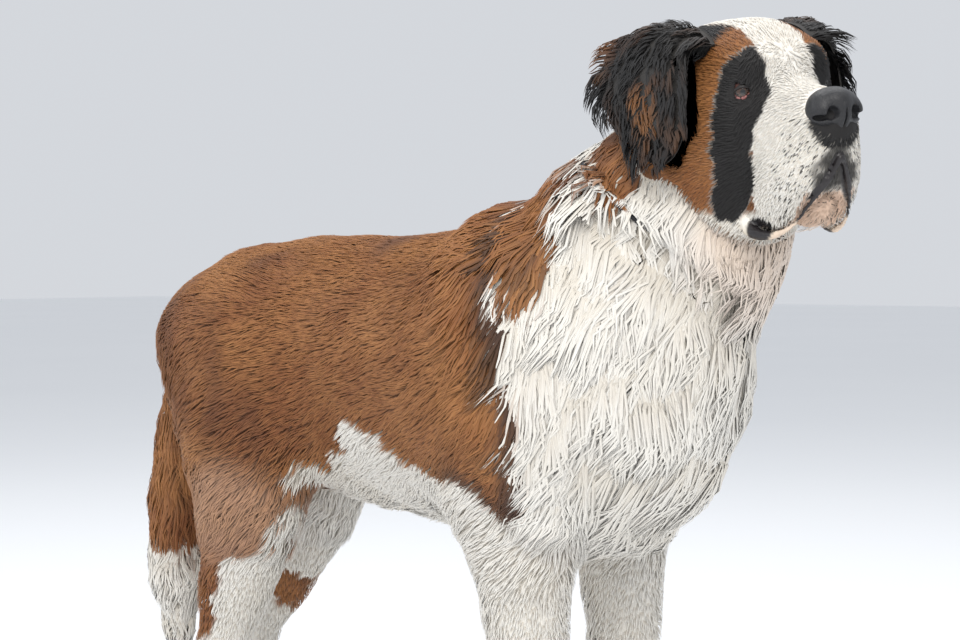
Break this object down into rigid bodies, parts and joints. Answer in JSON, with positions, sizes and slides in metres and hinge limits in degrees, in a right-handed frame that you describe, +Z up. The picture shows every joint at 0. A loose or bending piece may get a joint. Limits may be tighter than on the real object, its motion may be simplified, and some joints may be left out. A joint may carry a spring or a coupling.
{
  "type": "saint bernard, still model",
  "caption": "Life-size still model of a standing rough-coated Saint Bernard with a ruff, feathered legs, hanging ears, low tail and a slim collar.",
  "frame": {"origin": "on the floor, under the middle of the whole model's box", "axes": "+X towards the dog's head, +Y to its left side, +Z up"},
  "size_m": [1.1406, 0.403, 1.0008],
  "materials": {
    "white_coat": "matte long fur",
    "rust_coat": "soft sheen, long fur",
    "black_coat": "soft sheen, fur",
    "nose_leather": "moist, fine grained",
    "eye": "polished",
    "collar": "dark woven cord"
  },
  "bodies": {
    "root": {"torso": "rust_coat", "neck": "white_coat", "head": "white_coat", "lower_jaw": "white_coat", "nose": "nose_leather", "eye_left": "eye", "eye_right": "eye", "ear_left": "black_coat", "ear_right": "black_coat", "tail": "white_coat", "foreleg_left": "white_coat", "foreleg_right": "white_coat", "hindleg_left": "white_coat", "hindleg_right": "rust_coat", "forepaw_left": "white_coat", "forepaw_right": "white_coat", "hindpaw_left": "white_coat", "hindpaw_right": "white_coat", "collar": "collar"}
  },
  "joints": []
}
